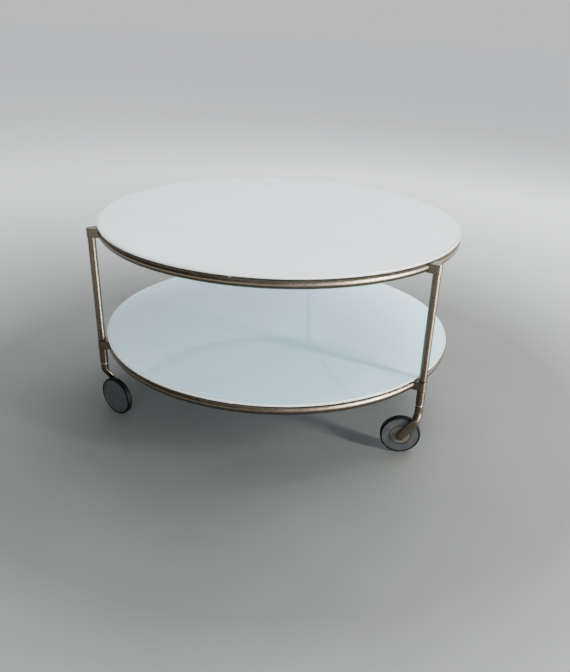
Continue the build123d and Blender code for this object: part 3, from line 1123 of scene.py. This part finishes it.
def wheel_disc(sizes):
    """Moulded disc with its hub seat, bush seat and dished plain side."""
    rim = disc_radius()
    face, floor = DISC_HALF_WIDTH, DISC_HALF_WIDTH - HUB_SEAT_DEPTH
    dish = BACK_DISH_DEPTH - face
    outline = (
        (0.0, HUB_BACK_WALL - face),
        (WHEEL_BUSH_SEAT, HUB_BACK_WALL - face),
        (WHEEL_BUSH_SEAT, floor),
        (HUB_SEAT_RADIUS, floor),
        (HUB_SEAT_RADIUS, face - GROOVE_LIP),
        (HUB_SEAT_RADIUS + GROOVE_LIP, face),
        (rim, face),
        (rim, -face),
        (BACK_DISH_RADIUS + BACK_DISH_DEPTH, -face),
        (BACK_DISH_RADIUS, dish),
        (0.0, dish),
    )
    disc = turned(outline, DISC_SIDES)
    soften(disc, sizes.moulded_edge / 3, segments=2)
    darken_groove(disc)
    return disc


def darken_groove(piece):
    """Gives the second finish to the faces in the groove round the hub plate."""
    low, high = HUB_PLATE_RADIUS - GROOVE_TINT_REACH, HUB_SEAT_RADIUS + GROOVE_LIP
    for face in piece.data.polygons:
        deep = face.center.z < DISC_HALF_WIDTH - GROOVE_TINT_DEPTH
        if face.center.z > 0.0 and deep and low < face.center.xy.length < high:
            face.material_index = 1


def wheel_tyre(sizes):
    """Rubber tyre with round shoulders."""
    outer, half = AXLES["rear"].z, TYRE_HALF_WIDTH
    tyre = turned(square_outline(disc_radius(), outer, -half, half), TYRE_SIDES)

    def at_shoulder(edge):
        """Says whether an edge is a sharp one of the tread."""
        on_tread = min(vert.co.xy.length for vert in edge.verts) > outer - TREAD_REACH
        return on_tread and edge.calc_face_angle(0.0) > SHOULDER_ANGLE

    take(tyre)
    bpy.ops.object.mode_set(mode="EDIT")
    pick(tyre, "edges", at_shoulder)
    bpy.ops.mesh.bevel(offset=sizes.tyre_shoulder, segments=8, affect="EDGES")
    bpy.ops.object.mode_set(mode="OBJECT")
    soften(tyre, sizes.moulded_edge, segments=2, sharp=60.0)
    return tyre


def hub_plate(sizes):
    """Plate let into the disc's seat."""
    face, floor = DISC_HALF_WIDTH, DISC_HALF_WIDTH - HUB_SEAT_DEPTH
    outline = square_outline(HUB_PLATE_HOLE, HUB_PLATE_RADIUS, floor, face)
    plate = turned(outline, HUB_PLATE_SIDES)
    soften(plate, 1.5 * sizes.moulded_edge)
    darken_groove(plate)
    return plate


class TABLE_OT_wheels(bpy.types.Operator):
    """Makes the wheels: disc, tyre and hub plate"""

    bl_idname = "table.wheels"
    bl_label = "Wheels"

    def execute(self, context):
        sizes, colours = context.scene.table_sizes, context.scene.table_colours
        grey = plastic_finish("grey_disc", tuple(colours.disc), (0.42, 0.56), dust=0.08)
        black = plastic_finish("black_tyre", tuple(colours.tyre), (0.5, 0.65), dust=0.012)
        beige = plastic_finish("beige_hub", tuple(colours.hub), (0.4, 0.55), dust=0.08)
        # Near-black finish of the groove round the hub plate
        groove_finish = plastic_finish("groove_dirt", GROOVE_TINT, (0.6, 0.8))
        pieces = (
            (wheel_disc, "disc", "wheel_disc", [grey, groove_finish], "wheel_disc"),
            (wheel_tyre, "tyre", "tyre", [black], "wheel_tyre"),
            (hub_plate, "plate", "hub_plate", [beige, groove_finish], "hub_plate"),
        )
        for make, name, slot, finishes, node in pieces:
            settle_at_legs(make(sizes), name, axle_line, "wheel", finishes, node)
        return {"FINISHED"}


class TABLE_OT_finishes(bpy.types.Operator):
    """Gives every carried-over piece its finish"""

    bl_idname = "table.finishes"
    bl_label = "Finishes"

    def execute(self, context):
        steel = nickel_finish("zinc_steel", ZINC_TINT)
        dress(steel, *every_leg("leg_stud", "caster_pin", "axle", "axle_washer", "axle_clip"))
        dark = plastic_finish("dark_plastic", DARK_PLASTIC_TINT, (0.4, 0.6), dust=0.05)
        dress(dark, *every_leg("leg_collar", "swivel_bush"))
        clear = plastic_finish("clear_pad", CLEAR_PAD_TINT, (0.15, 0.3))
        dress(clear, "upper_pads", "lower_pads")
        nylon = plastic_finish("nylon", NYLON_TINT, (0.4, 0.5))
        dress(nylon, *every_leg("wheel_bush"))
        return {"FINISHED"}


def add_camera(settings):
    """Camera that sees the table as the reference view does."""
    heading, pitch, roll = settings.heading, settings.pitch, settings.roll
    flat = Vector((math.sin(heading), math.cos(heading), 0.0))
    ahead = flat * math.cos(pitch) - Vector((0.0, 0.0, math.sin(pitch)))
    level_right = Vector((math.cos(heading), -math.sin(heading), 0.0))
    level_up = level_right.cross(ahead)
    right = level_right * math.cos(roll) + level_up * math.sin(roll)
    up = level_up * math.cos(roll) - level_right * math.sin(roll)
    turn = Matrix((right, up, -ahead)).transposed().to_4x4()
    data = bpy.data.cameras.new("camera")
    data.sensor_width = SENSOR
    data.lens = settings.focal_pixels * SENSOR / PICTURE_HEIGHT
    data.shift_x = -settings.axis_right / PICTURE_HEIGHT
    data.shift_y = settings.axis_down / PICTURE_HEIGHT
    camera = bpy.data.objects.new("camera", data)
    camera.matrix_world = Matrix.Translation(settings.camera_place) @ turn
    bpy.context.scene.collection.objects.link(camera)
    bpy.context.scene.camera = camera


def add_softbox(name, place, target, size, power, colour):
    """Rectangular area light that faces a point."""
    data = bpy.data.lights.new(name, "AREA")
    data.shape = "RECTANGLE"
    data.size, data.size_y = size
    data.energy = power
    data.color = colour
    light = bpy.data.objects.new(name, data)
    light.location = place
    light.rotation_euler = (Vector(target) - Vector(place)).to_track_quat("-Z", "Y").to_euler()
    bpy.context.scene.collection.objects.link(light)
    return light


def add_world():
    """Pale backdrop, and surrounding light that is dark on the left and in front."""
    world = bpy.data.worlds.new("studio")
    world.use_nodes = True
    bpy.context.scene.world = world
    tree = world.node_tree
    background = tree.nodes["Background"]
    direction = add_node(tree, "TexCoord").outputs["Generated"]
    inputs = {0: direction, 1: SKY_SIDE}
    side = add_node(tree, "VectorMath", inputs, operation="DOT_PRODUCT").outputs["Value"]
    sky = ramp(tree, map_range(tree, side, 0.0, 1.0, *SKY_REACH), SKY_TONES)
    seen = add_node(tree, "LightPath").outputs["Is Camera Ray"]
    tree.links.new(mixed(tree, seen, sky, BACKDROP), background.inputs["Color"])
    background.inputs["Strength"].default_value = 1.0


def add_floor():
    """Plain floor, paler further from the table."""
    bpy.ops.object.select_all(action="DESELECT")
    bpy.ops.mesh.primitive_plane_add(size=FLOOR_SIZE, location=(0.0, 0.0, 0.0))
    floor = bpy.context.object
    floor.name = "floor"
    material, tree, shader = new_material("pale_floor")
    near = ramp(tree, noise(tree, FLOOR_CLOUDS), FLOOR_NEAR_TONES)
    far = map_range(tree, radius_socket(tree), 0.0, 1.0, *FLOOR_PALING)
    gloss = map_range(tree, noise(tree, FLOOR_GLOSS), *FLOOR_ROUGHNESS)
    finish_surface(tree, shader, mixed(tree, far, near, FLOOR_FAR_TONE), gloss)
    set_inputs(shader, {"Specular IOR Level": FLOOR_SHEEN})
    floor.data.materials.append(material)


class TABLE_OT_stage(bpy.types.Operator):
    """Adds the floor, the lights and the camera"""

    bl_idname = "table.stage"
    bl_label = "Stage"

    def execute(self, context):
        add_world()
        add_floor()
        add_softbox("window", **WINDOW)
        add_softbox("overhead", **OVERHEAD)
        fill = add_softbox("fill", **FILL)
        fill.visible_glossy = False
        glint = add_softbox("glint", **GLINT)
        glint.visible_diffuse = False
        glint.visible_camera = False
        add_camera(context.scene.table_stage)
        return {"FINISHED"}


class TABLE_PT_sidebar(bpy.types.Panel):
    """Lists the table's operators in the sidebar"""

    bl_label = "Rolling Coffee Table"
    bl_idname = "TABLE_PT_sidebar"
    bl_space_type = "VIEW_3D"
    bl_region_type = "UI"
    bl_category = "Table"

    def draw(self, context):
        for operator in OPERATORS:
            self.layout.operator(operator.bl_idname)


PROPERTY_GROUPS = (TableColours, TableSizes, StageSettings)
OPERATORS = (
    TABLE_OT_glass,
    TABLE_OT_rings,
    TABLE_OT_lugs,
    TABLE_OT_legs,
    TABLE_OT_arms,
    TABLE_OT_wheels,
    TABLE_OT_finishes,
    TABLE_OT_stage,
)


def register():
    """Registers the classes and hangs the settings on the scene."""
    for item in (*PROPERTY_GROUPS, *OPERATORS, TABLE_PT_sidebar):
        bpy.utils.register_class(item)
    bpy.types.Scene.table_colours = bpy.props.PointerProperty(type=TableColours)
    bpy.types.Scene.table_sizes = bpy.props.PointerProperty(type=TableSizes)
    bpy.types.Scene.table_stage = bpy.props.PointerProperty(type=StageSettings)


def unregister():
    """Takes the settings and the classes away again."""
    del bpy.types.Scene.table_stage
    del bpy.types.Scene.table_sizes
    del bpy.types.Scene.table_colours
    for item in (TABLE_PT_sidebar, *reversed(OPERATORS), *reversed(PROPERTY_GROUPS)):
        bpy.utils.unregister_class(item)


def main():
    """Registers the add-on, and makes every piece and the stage."""
    register()
    bpy.ops.table.glass()
    bpy.ops.table.rings()
    bpy.ops.table.lugs()
    bpy.ops.table.legs()
    bpy.ops.table.arms()
    bpy.ops.table.wheels()
    bpy.ops.table.finishes()
    bpy.ops.table.stage()


if __name__ == "__main__":
    main()
